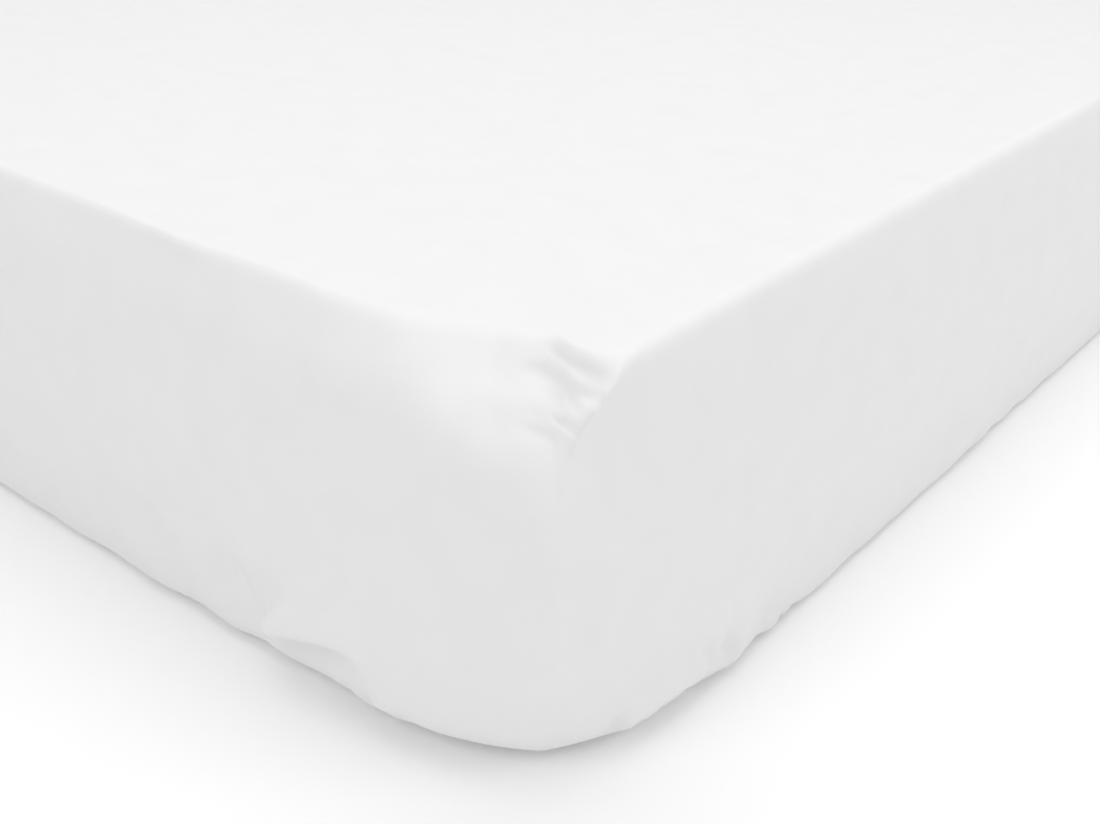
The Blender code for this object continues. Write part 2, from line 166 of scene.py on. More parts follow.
# Zones of the cut where the lines are set closer. end, side: which corner. near, far: from and to along.
# top, bottom: from and to drop. spacing: about how far apart the lines are then.
ZONES = ("side", "end", "near", "far", "top", "bottom", "spacing")
FINER_ZONES = (
    (-1, -1, -800, 1100, 190, 262, 14),
    (1, -1, -800, 1100, 190, 262, 14),
    (-1, 1, -800, 1100, 190, 262, 14),
    (1, 1, -800, 1100, 190, 262, 14),
    (1, -1, -460, 330, -50, 190, 9),
    (1, -1, -460, 610, 150, 262, 7),
    (-1, -1, -190, 190, -20, 60, 7),
    (1, 1, -190, 190, -20, 60, 7),
    (-1, 1, -190, 190, -20, 60, 7),
    (-1, -1, -400, 400, 180, 262, 7),
    (1, 1, -400, 400, 180, 262, 7),
    (-1, 1, -400, 400, 180, 262, 7),
    (1, -1, -66, 70, -34, 76, 3),
    (1, -1, -250, -60, 170, 256, 4),
    (1, -1, -60, 240, 180, 256, 4),
    (-1, -1, -50, 50, -14, 50, 3),
    (1, 1, -50, 50, -14, 50, 3),
    (-1, 1, -50, 50, -14, 50, 3),
    (1, -1, -36, 52, -26, 66, 1.6),
    (1, -1, -12, 36, 6, 60, 0.9),
)

# Edges over this many spacings are halved, at most so often. A face with a corner wider than STRAIGHT
# is split into triangles.
SPACING_REACH = 1.5
MOST_HALVINGS = 6
STRAIGHT = math.radians(170)

# Folds near a corner. along, drop: the fold's middle. heading: 0 runs towards plus, 90 straight down.
# reach: half its length, which fades out at FOLD_FADE times that. left, right: the widths of its flanks,
# looking along the heading. height: how far it stands out, or is sunk if negative. lean: how far its
# crest tips to the right.
FOLD_FADE = 1.4
FOLDS = ("along", "drop", "heading", "reach", "left", "right", "height", "lean")
NEAR_CORNER_FOLDS = (
    (19.5, 24.5, 125, 26, 4, 6, -2.4, 0),
    (22, 28, 124, 27, 2.6, 3.4, 1.4, -0.3),
    (15.5, 16, -18, 13.5, 3.0, 6.0, -2.5, 0),
    (4, 23, 0, 13, 4, 4, 0.6, 0),
    (-3, 31, 5, 14, 4.0, 5.5, -1.4, 0),
    (18, 27, -32, 8, 3.2, 5, -1.8, 0),
    (9.5, 35.5, 92, 7, 3.4, 3.4, -1.7, 0),
    (5.5, 51.5, -30, 6, 2.3, 3, -2.2, 0),
    (3.5, 55.5, 10, 7, 2.5, 2.5, 1.0, 0),
    (-6, 61, 16, 13, 2.8, 4.5, -0.9, 0),
    (-2, 47, 20, 13, 6, 6, 1.0, 0),
    (-27, 45, 16, 26, 8, 9, 1.1, 0),
    (14, 104, 0, 30, 30, 44, 5.5, 0),
    (-190, 210, 118, 27, 15, 6, 8.5, 4),
    (-163, 200, -24, 44, 18, 10, 10.5, 0),
    (-158, 223, -18, 40, 13, 14, -9.5, 0),
    (-226, 206, 46, 34, 10, 15, -6.0, 0),
    (-106, 222, 126, 15, 9, 5, 4.0, 0),
    (-118, 234, -15, 14, 7, 7, -2.5, 0),
    (-322, 195, 24, 38, 12, 15, -6.0, 0),
    (-325, 228, 24, 24, 10, 9, 4.0, 0),
    (-185, 172, 17, 30, 14, 12, 3.5, 0),
    (-55, 186, 0, 110, 38, 36, 6.0, 0),
    (45, 227, 90, 15, 7, 7, -2.5, 0),
    (59, 232, 95, 14, 7, 7, 2.5, 0),
    (114, 243, 2, 32, 13, 14, -4.5, 0),
    (128, 212, 52, 18, 5, 5, -3.8, 0),
    (140, 200, 80, 24, 6, 6, 2.6, 0),
    (153, 222, 55, 17, 5.5, 5.5, -4.6, 0),
    (172, 226, 120, 18, 8, 8, 3.0, 0),
    (205, 228, -10, 24, 9, 9, -2.5, 0),
    (510, 231, 172, 56, 12, 12, 3.0, 0),
    (472, 218, 178, 60, 14, 14, -3.0, 0),
    (267, 26, 12, 30, 14, 18, 1.6, 0),
    (-268, 12, 14, 34, 7, 9, -1.8, 0),
)
LEFT_FOOT_FOLDS = (
    (-24, 17, 40, 24, 6, 10, 5.0, -2),
    (-8, 6, 160, 18, 6, 5, -3.5, 0),
    (10, 14, 165, 22, 5, 6, -2.8, 0),
    (4, 34, 12, 16, 5, 6, -2.4, 0),
    (170, 222, 60, 30, 12, 7, 4.6, 0),
    (140, 226, 200, 26, 8, 8, -3.5, 0),
    (-130, 224, 60, 24, 8, 8, -3.0, 0),
    (-210, 230, 40, 30, 10, 10, 2.5, 0),
    (300, 200, 155, 40, 13, 13, -2.5, 0),
    (-330, 210, 20, 36, 12, 12, -2.0, 0),
)
RIGHT_HEAD_FOLDS = (
    (-20, 22, 60, 25, 10, 6, 5.0, 2),
    (-2, 5, 10, 16, 5, 6, -3.8, 0),
    (12, 20, 35, 18, 5, 6, -2.8, 0),
    (-140, 225, 125, 28, 12, 7, 4.2, 0),
    (-112, 230, -25, 24, 8, 8, -3.5, 0),
    (96, 224, 55, 22, 8, 8, -3.0, 0),
    (190, 222, 130, 22, 8, 8, -2.2, 0),
    (250, 206, 30, 40, 13, 13, -2.5, 0),
    (-300, 204, 150, 38, 13, 13, -2.5, 0),
)
LEFT_HEAD_FOLDS = (
    (22, 20, 125, 24, 6, 10, 5.0, -2),
    (14, 4, 15, 17, 5, 6, -3.5, 0),
    (-8, 16, 30, 20, 5, 6, -2.8, 0),
    (150, 224, 60, 28, 8, 11, 4.2, 0),
    (122, 230, 200, 24, 8, 8, -3.5, 0),
    (-96, 226, 118, 22, 8, 8, -3.0, 0),
    (-180, 234, 45, 26, 8, 8, -2.5, 0),
    (-260, 208, 150, 40, 13, 13, -2.5, 0),
)
CORNER_FOLDS = {
    (1, -1): NEAR_CORNER_FOLDS,
    (-1, -1): LEFT_FOOT_FOLDS,
    (1, 1): RIGHT_HEAD_FOLDS,
    (-1, 1): LEFT_HEAD_FOLDS,
}

# Gathers that the elastic draws in the hem. side: -1 head or foot, 1 long side, of each corner.
# first, last: where they start and end, from the corner. pitch: from one to the next. height: how deep
# they sink at most. climb: how far up the side they reach. lean: how far their tops shift along the hem.
GATHERS = ("side", "first", "last", "pitch", "height", "climb", "lean")
HEM_GATHERS = (
    (1, 25, 260, 23, 3.0, 22, 10),
    (1, 90, 700, 61, 1.8, 40, 26),
    (-1, 30, 180, 34, 1.6, 20, 12),
    (-1, 110, 560, 73, 2.2, 44, 30),
)

# Millimetres over which a row of gathers fades in and out, and by which it differs between corners
FADE_IN = 40
CORNER_SHIFT = 17

# How the gathers vary: how far and how fast their spacing does, their mean depth as a share of their
# height, and how far and how fast it varies
WOBBLE = 1.1
WOBBLE_PACE = 0.31
GATHER_MEAN = 0.62
GATHER_VARIES = 0.38
GATHER_PACE = 0.17

# Under the bed they fade from so many millimetres on, and are gone at this share of the tuck
UNDER_FROM = 2
UNDER_SHARE = 0.6

# The hem: its fold's radius, the lift that leaves room for the stitches under it, and the stitches
HEM_RADIUS = 0.00105
HEM_LIFT = 0.0003
HEM_LIFT_STARTS = 0.026
HEM_LIFT_FULL = 0.034
HEM_BEND = math.pi * HEM_RADIUS
HEM_BEND_STEPS = 4
STITCH_IN = 0.0095
STITCH_PITCH = 0.0034
STITCH_LENGTH = 0.0024
STITCH_RADIUS = 0.00022
STITCH_SIDES = 6

# A stitch sinks in by a share of its radius, is wider than high, and stays just above the floor. Its
# edges are sharp from this angle on.
STITCH_SINKS = 0.3
STITCH_WIDENS = 1.25
STITCH_LEAST_HEIGHT = 0.00001
STITCH_SHARP = math.radians(70)

# Each line of stitches: the shares of the edge where it starts and ends, and the number of points that
# it is measured by
STITCH_LINE_ENDS = (0.0005, 0.9995)
STITCH_LINE_POINTS = 2000

# Points of the cut squares' edges that are this close are sewn into one
SEWN_WITHIN = 1e-5

# The mattress under the cloth: sections from the bottom up
SECTIONS = ("height", "inset", "radius")
MATTRESS_SECTIONS = (
    (0.0, 70, 72),
    (2.6, 68, 74),
    (2.7, 35, 104),
    (5, 26, 112),
    (9, 19, 118),
    (14, 13, 122),
    (22, 9, 125),
    (38, 7.3, 124),
    (60, 7, 122),
    (100, 6.8, 114),
    (140, 6.8, 106),
    (176, 7, 101),
    (200, 7.2, 99),
    (218, 8, 105),
    (229, 9.4, 112),
    (237, 12, 119),
    (242, 15.4, 124),
    (245.6, 21, 121),
    (247.6, 32, 116),
)
ARC_STEPS = 16

# The width of the rim round the mattress's flat ends, and the angle from which its edges are sharp
PANEL_RIM = 0.05
MATTRESS_SHARP = math.radians(40)

# The floor: how far below the bed it lies, and the light that it gives off by itself
FLOOR_GAP = 0.0005
FLOOR_GLOW = 0.045

# One Wave Texture band is this long at scale 1
WAVE_BAND = 2 * math.pi / 20

# From one thread, rib or twist to the next
PERCALE_PITCH = 0.00046
TWILL_PITCH = 0.0013
TWIST_PITCH = 0.0004

# Scales of the noise that makes uneven threads, across them and along them
SLUB_ACROSS = 1800.0
SLUB_ALONG = 40.0

# Values of the noise where the soft patches are darkest and where they end
PATCH_STOPS = (0.30, 0.62)

# How much light glances off cloth and off the floor
CLOTH_SPECULAR = 0.3
FLOOR_SPECULAR = 0.05


class SheetSizes(bpy.types.PropertyGroup):
    """Sizes of the sheet and of the mattress that it is cut for."""
    width: FloatProperty(
        name="Width", description="Width of the mattress", default=1.40, unit="LENGTH")
    length: FloatProperty(
        name="Length", description="Length of the mattress", default=2.00, unit="LENGTH")
    depth: FloatProperty(
        name="Depth", description="Height of the sheet's top above the floor", default=0.25,
        unit="LENGTH")
    tuck: FloatProperty(
        name="Tuck", description="How far the sheet reaches under the mattress", default=0.05,
        unit="LENGTH")
    hem: FloatProperty(
        name="Hem", description="Width of the hem that is folded back", default=0.012, unit="LENGTH")
    cloth: FloatProperty(
        name="Cloth", description="Thickness of the cloth", default=0.001, unit="LENGTH")
    turn: FloatProperty(
        name="Turn Radius", description="Radius where the cloth turns under the bed", default=0.008,
        unit="LENGTH")
    corner_turn: FloatProperty(
        name="Corner Turn Radius", description="Radius where the cloth turns under at a corner",
        default=0.040, unit="LENGTH")
    end_swell: FloatProperty(
        name="End Swell", description="How far the cloth stands out at the head and foot",
        default=0.0065, unit="LENGTH")
    side_swell: FloatProperty(
        name="Side Swell", description="How far the cloth stands out at the long sides",
        default=0.0055, unit="LENGTH")
    top_slack: FloatProperty(
        name="Top Slack", description="How far the cloth lifts on the top", default=0.0012, unit="LENGTH")
    side_slack: FloatProperty(
        name="Side Slack", description="How far the cloth bellies at the sides", default=0.0020,
        unit="LENGTH")


class SheetColours(bpy.types.PropertyGroup):
    """Colours of the fabrics and of the floor."""
    cotton: FloatVectorProperty(
        name="Cotton", description="Colour of the sheet", subtype="COLOR", size=4, min=0, max=1,
        default=(0.862, 0.866, 0.863, 1.0))
    thread: FloatVectorProperty(
        name="Thread", description="Colour of the hem's stitches", subtype="COLOR", size=4, min=0, max=1,
        default=(0.80, 0.805, 0.80, 1.0))
    ticking: FloatVectorProperty(
        name="Ticking", description="Colour of the mattress's cover", subtype="COLOR", size=4, min=0,
        max=1, default=(0.78, 0.77, 0.74, 1.0))
    floor: FloatVectorProperty(
        name="Floor", description="Colour of the studio floor", subtype="COLOR", size=4, min=0, max=1,
        default=(0.93, 0.93, 0.93, 1.0))


class StudioSettings(bpy.types.PropertyGroup):
    """The camera and the lights."""
    lens: FloatProperty(
        name="Lens", description="Focal length of the camera in millimetres", default=42.158)
    sky: FloatProperty(
        name="Sky", description="Strength of the light from all around", default=0.40)
    top_lamp: FloatProperty(
        name="Top Lamp", description="Power of the light above the bed in watts", default=54.5)
    front_lamp: FloatProperty(
        name="Front Lamp", description="Power of the light before the foot in watts", default=37.5)
    right_lamp: FloatProperty(
        name="Right Lamp", description="Power of the light beside the bed in watts", default=31.5)
    floor_reach: FloatProperty(
        name="Floor Reach", description="Half the width of the floor", default=14.0, unit="LENGTH")
    floor_steps: IntProperty(
        name="Floor Steps", description="Faces across the floor", default=8)


def smooth_step(value, start, end):
    """0 up to start, 1 from end on, and an even slope between."""
    share = np.clip((value - start) / (end - start), 0.0, 1.0)
    return share * share * (3.0 - 2.0 * share)


def run_lines(runs):
    """Positions of the lines that the runs describe, the last end included."""
    lines = []
    for start, end, spacing in runs:
        count = round((end - start) / spacing)
        lines += [start + (end - start) * step / count for step in range(count)]
    return lines + [runs[-1][1]]


def hem_runs(sizes):
    """Runs of lines past the hem's fold: round the fold itself, then across the hem."""
    edge = sizes.depth + sizes.tuck
    bent = edge + HEM_BEND
    return (
        (edge, bent, HEM_BEND / HEM_BEND_STEPS),
        (bent, bent + sizes.hem, 0.004),
    )


def mirrored_lines(runs, sizes):
    """The same lines on both sides of the middle, with the drop's lines past each end."""
    inner = run_lines(runs)
    drops = run_lines(DROP_RUNS + hem_runs(sizes))
    half = inner + [inner[-1] + drop for drop in drops[1:]]
    return [-place for place in reversed(half[1:])] + half


def cut_cloth(sizes):
    """The flat cut: a grid with a square taken out of each corner, and finer where it folds most."""
    across = mirrored_lines(WIDTH_RUNS, sizes)
    along = mirrored_lines(LENGTH_RUNS, sizes)
    columns = len(across) - 1
    rows = len(along) - 1
    cloth = bmesh.new()
    bmesh.ops.create_grid(cloth, x_segments=columns, y_segments=rows, size=1.0)
    for vert in cloth.verts:
        vert.co.x = across[round((vert.co.x + 1) / 2 * columns)]
        vert.co.y = along[round((vert.co.y + 1) / 2 * rows)]
    squares = []
    for face in cloth.faces:
        middle = face.calc_center_median()
        if abs(middle.x) > sizes.width / 2 and abs(middle.y) > sizes.length / 2:
            squares.append(face)
    bmesh.ops.delete(cloth, geom=squares, context="FACES")
    for spacing in sorted({zone[-1] for zone in FINER_ZONES}, reverse=True):
        refine(cloth, [zone for zone in FINER_ZONES if zone[-1] == spacing], spacing, sizes)
    uneven = [face for face in cloth.faces if max(loop.calc_angle() for loop in face.loops) > STRAIGHT]
    bmesh.ops.triangulate(cloth, faces=uneven)
    return cloth


def refine(cloth, zones, spacing, sizes):
    """Halve the edges in the zones until none is much longer than the spacing."""
    for _ in range(MOST_HALVINGS):
        faces = list(cloth.faces)
        chosen = in_zones(faces, zones, sizes)
        edges = {edge for face, taken in zip(faces, chosen) if taken for edge in face.edges}
        edges = [edge for edge in edges if edge.calc_length() > SPACING_REACH * spacing * MM]
        if not edges:
            return
        bmesh.ops.subdivide_edges(
            cloth, edges=edges, cuts=1, use_grid_fill=True, use_single_edge=True)


def in_zones(faces, zones, sizes):
    """Whether the middle of each face lies in one of the zones."""
    middles = np.array([face.calc_center_median()[:2] for face in faces])
    drop, along, _ = box_place(middles[:, 0], middles[:, 1], sizes)
    chosen = np.zeros(len(faces), dtype=bool)
    for zone in zones:
        row = dict(zip(ZONES, zone))
        here = (np.sign(middles[:, 0]) == row["side"]) & (np.sign(middles[:, 1]) == row["end"])
        here &= (along > row["near"] * MM) & (along < row["far"] * MM)
        chosen |= here & (drop > row["top"] * MM) & (drop < row["bottom"] * MM)
    return chosen


def edge_values(along):
    """The values of the edge's table at each distance along it, evened out a little."""
    at = dict(zip(EDGES, np.array(EDGE_STATIONS).T))
    places = np.arange(-ALONG_REACH, ALONG_REACH + ALONG_STEP / 2, ALONG_STEP)
    even = np.ones(ALONG_SMOOTH) / ALONG_SMOOTH
    even = np.convolve(even, even)
    values = {}
    for name in EDGES[1:]:
        line = np.pad(np.interp(places, at["along"] * MM, at[name]), ALONG_SMOOTH - 1, mode="edge")
        values[name] = np.interp(along, places, np.convolve(line, even, mode="valid"))
    return values


def edge_slope(down, along):
    """How steeply the cloth slopes at each distance down from the top edge, at each distance along it."""
    values = edge_values(along)
    first = np.radians(values["first"])
    crisp, bend, soft, late = (values[name] * MM for name in ("crisp", "bend", "soft", "late"))
    start = first * smooth_step(down, late - crisp, late + crisp)
    return start + (math.pi / 2 - first) * smooth_step(down, bend - soft, bend + soft)


def edge_tables():
    """Over a grid of along and down: how far the cloth still runs outwards, and how far it has fallen."""
    along = np.arange(-ALONG_REACH, ALONG_REACH + ALONG_STEP / 2, ALONG_STEP)[:, None]
    down = np.arange(EDGE_FROM, EDGE_TO, EDGE_STEP) + EDGE_STEP / 2
    slope = edge_slope(down[None, :], along)
    left = np.cumsum(np.cos(slope[:, ::-1]), axis=1)[:, ::-1] * EDGE_STEP
    fallen = np.cumsum(np.sin(slope), axis=1) * EDGE_STEP
    return (np.pad(left, ((0, 0), (0, 1))), np.pad(fallen, ((0, 0), (1, 0))))


def look_up(table, down, along):
    """Values of an edge table between its lines."""
    column = np.clip((down - EDGE_FROM) / EDGE_STEP, 0, table.shape[1] - TABLE_MARGIN)
    row = np.clip((along + ALONG_REACH) / ALONG_STEP, 0, table.shape[0] - TABLE_MARGIN)
    column_at, row_at = column.astype(int), row.astype(int)
    column, row = column - column_at, row - row_at
    lower = table[row_at, column_at] * (1 - column) + table[row_at, column_at + 1] * column
    upper = table[row_at + 1, column_at] * (1 - column) + table[row_at + 1, column_at + 1] * column
    return lower * (1 - row) + upper * row


def box_place(x, y, sizes):
    """Where points of the flat cut lie: drop below the top edge, distance along the edge from the
    corner, minus at the head or foot, and whether a long side is the nearest."""
    past_x = np.abs(x) - sizes.width / 2
    past_y = np.abs(y) - sizes.length / 2
    drop = np.maximum(past_x, past_y)
    along = np.abs(past_x - past_y)
    on_side = drop > 0
    along = np.where(on_side, np.where(past_x > past_y, -past_y, -past_x), along)
    drawn_in = np.maximum(tucked_inset(drop, sizes), 0.0) * smooth_step(along, 0.0, GATHER_REACH)
    long_side = past_x > past_y
    return drop, np.where(long_side, along - drawn_in, drawn_in - along), long_side


def tucked_inset(drop, sizes):
    """How far under the bed the cloth lies at each drop, there and back again at the hem."""
    edge = sizes.depth + sizes.tuck
    past = np.clip(drop - edge, 0.0, HEM_BEND)
    back = np.maximum(drop - edge - HEM_BEND, 0.0)
    return np.clip(drop - sizes.depth, 0.0, sizes.tuck) + HEM_RADIUS * np.sin(past / HEM_RADIUS) - back


def hem_height(drop, sizes):
    """How high the cloth's outside lies under the bed: on the floor, then lifted, then folded over."""
    edge = sizes.depth + sizes.tuck
    past = np.clip(drop - edge, 0.0, HEM_BEND)
    lift = HEM_LIFT * smooth_step(drop - sizes.depth, HEM_LIFT_STARTS, HEM_LIFT_FULL)
    return lift + HEM_RADIUS * (1 - np.cos(past / HEM_RADIUS))


def swell_width(drop, along, sizes):
    """How far the cloth stands out from the box below the edge, and how much of that the edge's own
    shape already gives."""
    shoulder = 1 - smooth_step(along, *SHOULDER_ENDS)
    long_share = smooth_step(along, *SIDE_BLEND)
    full = sizes.end_swell + (sizes.side_swell - sizes.end_swell) * long_share
    rise = 1 - (1 - np.clip(drop / SWELL_FULL_AT, 0.0, 1.0)) ** 2
    fall = 1 - smooth_step(drop, sizes.depth, sizes.depth + sizes.tuck)
    bulge = FOOT_BULGE * np.exp(-(along / FOOT_BULGE_REACH) ** 2) * smooth_step(drop, *FOOT_BULGE_EASES)
    more = edge_values(along)["swell"] * MM
    bulge += more * (1 - smooth_step(drop, *SWELL_EASES))
    return (full * (shoulder + (1 - shoulder) * rise) + bulge) * fall, full * shoulder + more


def profile(drop, along, sizes):
    """Down one side of the bed: insets of the cloth's outside from the box's face, with and without its
    swell, its height and its upward tilt."""
    left_table, fallen_table = edge_tables()
    swell, kept = swell_width(drop, along, sizes)
    whole = look_up(left_table, np.full_like(drop, EDGE_FROM), along) + EDGE_FROM - kept
    spare = EDGE_TO - look_up(fallen_table, np.full_like(drop, EDGE_TO), along)
    top_share = smooth_step(drop, *TOP_EASES)
    down = drop + whole * (1 - top_share) + spare * smooth_step(drop, *SIDE_EASES)
    left = look_up(left_table, down, along) + np.maximum(EDGE_FROM - down, 0.0)
    fallen = look_up(fallen_table, down, along) + np.maximum(down - EDGE_TO, 0.0)
    at_edge = look_up(left_table, np.zeros_like(drop), along)
    inset = np.where(drop < 0, left - kept, (at_edge - kept) * left / at_edge)
    inset = np.maximum(inset, 0.0) + np.maximum(tucked_inset(drop, sizes), 0.0)
    face_inset = np.where(drop < 0, inset, left - swell)

    turn_softens = np.where(along > 0, TURN_SOFTENS_AT_SIDE, TURN_SOFTENS_AT_END)
    turn = sizes.turn + (sizes.corner_turn - sizes.turn) * np.exp(-(along / turn_softens) ** 2)
    past = drop - sizes.depth
    under = np.clip((1 + past / turn) * math.pi / 4, 0.0, math.pi / 2)
    at_turn = np.abs(past) < turn
    below = past >= turn
    height = np.select(
        [at_turn, below], [turn * (1 - np.sin(under)), hem_height(drop, sizes)], sizes.depth - fallen)
    face_inset = np.select(
        [at_turn, below], [turn * (1 - np.cos(under)) - swell, inset - swell], face_inset)
    tilt = math.pi / 2 - edge_slope(down, along) - under
    return face_inset, inset, height, tilt


def slack_height(x, y, drop, along, sizes):
    """The cloth's slight slackness: long low waves on the top, and others at the sides, which die out
    towards the corners."""
    wave = np.zeros_like(x)
    for wave_x, wave_y, start in SLACK_WAVES:
        wave += np.sin(2 * math.pi * (x / wave_x + y / wave_y) + start) / len(SLACK_WAVES)
    wave *= smooth_step(along, 0.0, SLACK_REACH)
    down = np.clip(drop / sizes.depth, 0.0, 1.0)
    belly = sizes.side_slack * np.sin(math.pi * down) * (1 + BELLY_WAVE * wave)
    lift = sizes.top_slack * (1 + wave) / 2 * smooth_step(-drop, 0.0, SLACK_REACH)
    return np.where(drop > 0, belly, lift)


def seam_height(drop, along):
    """The groove along each upright seam, as a height below the cloth."""
    level = smooth_step(drop, SEAM_STARTS, SEAM_FULL) * (1 - smooth_step(drop, *SEAM_ENDS))
    return -SEAM_DEPTH * level * np.exp(-(along / SEAM_WIDTH) ** 2)


def corner_place(drop, along, inset, face_inset, sizes):
    """Insets from the near face and from the other face, with the corner rounded seen from above, and
    the direction that the cloth faces there."""
    share = smooth_step(drop, 0.0, sizes.depth)
    reach = TOP_REACH + (BOTTOM_REACH - TOP_REACH) * share
    bend = math.pi / 4 - SEAM_CREASE * smooth_step(drop, CREASE_STARTS, CREASE_FULL)
    radius = reach / (np.sin(bend) + 1 - np.cos(bend))
    arc_radius = np.maximum(radius - face_inset, SMALLEST_LENGTH)
    last = np.arccos(np.clip((radius - reach) / (math.sqrt(2) * arc_radius), -1, 1)) - math.pi / 4
    room = np.maximum(reach - inset, SMALLEST_LENGTH)
    nearness = np.clip(1 - along / room, 0.0, 1.0)
    angle = last * nearness
    bent = (inset < reach) & (along < room)
    near = np.where(bent, radius - arc_radius * np.cos(angle), face_inset)
    far = np.where(bent, reach - arc_radius * np.sin(angle), inset + along)
    return near, far, nearness * math.pi / 4


def fold_shape(folds, along, drop):
    """How far the folds of one corner stand out at each point, and how far they tip it along and down
    the cloth, in metres."""
    height = np.zeros_like(drop)
    shift_along = np.zeros_like(drop)
    shift_down = np.zeros_like(drop)
    for fold in folds:
        row = dict(zip(FOLDS, fold))
        heading = math.radians(row["heading"])
        aside = along / MM - row["along"]
        down = drop / MM - row["drop"]
        length = aside * math.cos(heading) + down * math.sin(heading)
        off = down * math.cos(heading) - aside * math.sin(heading)
        flank = np.where(off > 0, row["right"], row["left"])
        ends = np.clip(1 - (length / row["reach"] / FOLD_FADE) ** 2, 0.0, 1.0) ** 2
        crest = ends * np.exp(-(off / flank) ** 2)
        height += row["height"] * MM * crest
        shift_along -= row["lean"] * MM * crest * math.sin(heading)
        shift_down += row["lean"] * MM * crest * math.cos(heading)
    return height, shift_along, shift_down


def gather_height(along, drop, corner, sizes):
    """How far the gathers of the hem sink in at each point, in metres and below nothing."""
    total = np.zeros_like(drop)
    start = CORNER_SHIFT * (corner[0] + 2 * corner[1])
    for gather in HEM_GATHERS:
        row = dict(zip(GATHERS, gather))
        distance = row["side"] * along / MM
        up = (sizes.depth - drop) / MM
        run = smooth_step(distance, row["first"], row["first"] + FADE_IN)
        run = run * (1 - smooth_step(distance, row["last"] - FADE_IN, row["last"]))
        phase = (distance - up * row["lean"] / row["climb"] + start) / row["pitch"] * 2 * math.pi
        wobble = np.sin(phase * WOBBLE_PACE + corner[0]) * WOBBLE
        size = GATHER_MEAN + GATHER_VARIES * np.sin(phase * GATHER_PACE + 2 * corner[1])
        level = np.exp(-(np.maximum(up, 0) / row["climb"]) ** 2)
        level = level * (1 - smooth_step(-up, UNDER_FROM, sizes.tuck / MM * UNDER_SHARE))
        wave = 0.5 * np.sin(phase + wobble) - 0.5
        total += row["height"] * MM * run * level * size * wave
    return total


def lay_on_mattress(flat, sizes):
    """Places on the bed of points of the flat cut, given as rows of x and y."""
    x, y = flat[:, 0], flat[:, 1]
    side_x = np.where(x < 0, -1.0, 1.0)
    side_y = np.where(y < 0, -1.0, 1.0)
    drop, along, long_side = box_place(x, y, sizes)
    relief = slack_height(x, y, drop, np.abs(along), sizes) + seam_height(drop, along)
    for corner, folds in CORNER_FOLDS.items():
        here = (side_x == corner[0]) & (side_y == corner[1])
        height, shift_along, shift_down = fold_shape(folds, along[here], drop[here])
        relief[here] += height + gather_height(along[here], drop[here], corner, sizes)
        tipped = shift_along != 0
        along[here] += shift_along
        drop[here] += shift_down
        long_side[here] = np.where(tipped, along[here] > 0, long_side[here])
    face_inset, inset, height, tilt = profile(drop, along, sizes)
    near, far, facing = corner_place(drop, np.abs(along), inset, face_inset, sizes)
    outward = relief * np.cos(tilt)
    near = near - outward * np.cos(facing)
    far = far - outward * np.sin(facing)
    height = np.maximum(height + relief * np.sin(tilt), 0.0)
    inset_x = np.where(long_side, near, far)
    inset_y = np.where(long_side, far, near)
    return np.column_stack((
        side_x * (sizes.width / 2 - inset_x), side_y * (sizes.length / 2 - inset_y), height))


def finish_piece(name, mesh, material):
    """A piece of the object: its mesh, its finish, and the body that it rides on."""
    mesh.materials.append(material)
    piece = bpy.data.objects.new(name, mesh)
    bpy.context.scene.collection.objects.link(piece)
    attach(piece, "root")
    return piece


def add_node(tree, kind, settings=None, **inputs):
    """A shader node with its settings made, and its inputs set to values or linked to sockets."""
    node = tree.nodes.new(kind)
    for name, value in (settings or {}).items():
        setattr(node, name, value)
    for name, value in inputs.items():
        socket = node.inputs[int(name[1:]) if name[1:].isdigit() else name.replace("_", " ")]
        if isinstance(value, bpy.types.NodeSocket):
            tree.links.new(value, socket)
        else:
            socket.default_value = value
    return node


def start_material(name, roughness):
    """A new material's node tree and its shader, dull as cloth is."""
    material = bpy.data.materials.new(name)
    material.use_nodes = True
    shader = material.node_tree.nodes["Principled BSDF"]
    shader.inputs["Roughness"].default_value = roughness
    shader.inputs["Specular IOR Level"].default_value = CLOTH_SPECULAR
    return material, material.node_tree, shader


def add_weave(tree, place, pitch):
    """Height of a plain weave: threads that pass over and under each other."""
    threads = []
    for direction in ("X", "Y"):
        wave = add_node(
            tree, "ShaderNodeTexWave", {"wave_type": "BANDS", "bands_direction": direction},
            Vector=place, Scale=WAVE_BAND / pitch, Distortion=0.0, Detail=0.0)
        threads.append(add_node(
            tree, "ShaderNodeMath", {"operation": "SUBTRACT"}, _0=wave.outputs["Fac"], _1=0.5))
    return add_node(
        tree, "ShaderNodeMath", {"operation": "MULTIPLY"},
        _0=threads[0].outputs[0], _1=threads[1].outputs[0]).outputs[0]


def add_slubs(tree, place, scale_x, scale_y):
    """Height of uneven threads: noise drawn out along the direction of the smaller scale."""
    mapping = add_node(
        tree, "ShaderNodeMapping", {}, Vector=place, Scale=(scale_x, scale_y, 1.0))
    return add_node(
        tree, "ShaderNodeTexNoise", {}, Vector=mapping.outputs[0], Scale=1.0, Detail=2.0,
        Roughness=0.6).outputs["Fac"]


def vary_colour(tree, shader, colour, place, scale, least):
    """The shader's colour, a little darker in soft patches: least is the share left in the darkest."""
    noise = add_node(tree, "ShaderNodeTexNoise", {}, Vector=place, Scale=scale, Detail=3.0)
    ramp = add_node(tree, "ShaderNodeValToRGB", {}, Fac=noise.outputs["Fac"])
    stops = ramp.color_ramp.elements
    stops[0].position, stops[1].position = PATCH_STOPS
    stops[0].color = tuple(part * least for part in colour[:3]) + (1.0,)
    stops[1].color = tuple(colour)
    tree.links.new(ramp.outputs["Color"], shader.inputs["Base Color"])


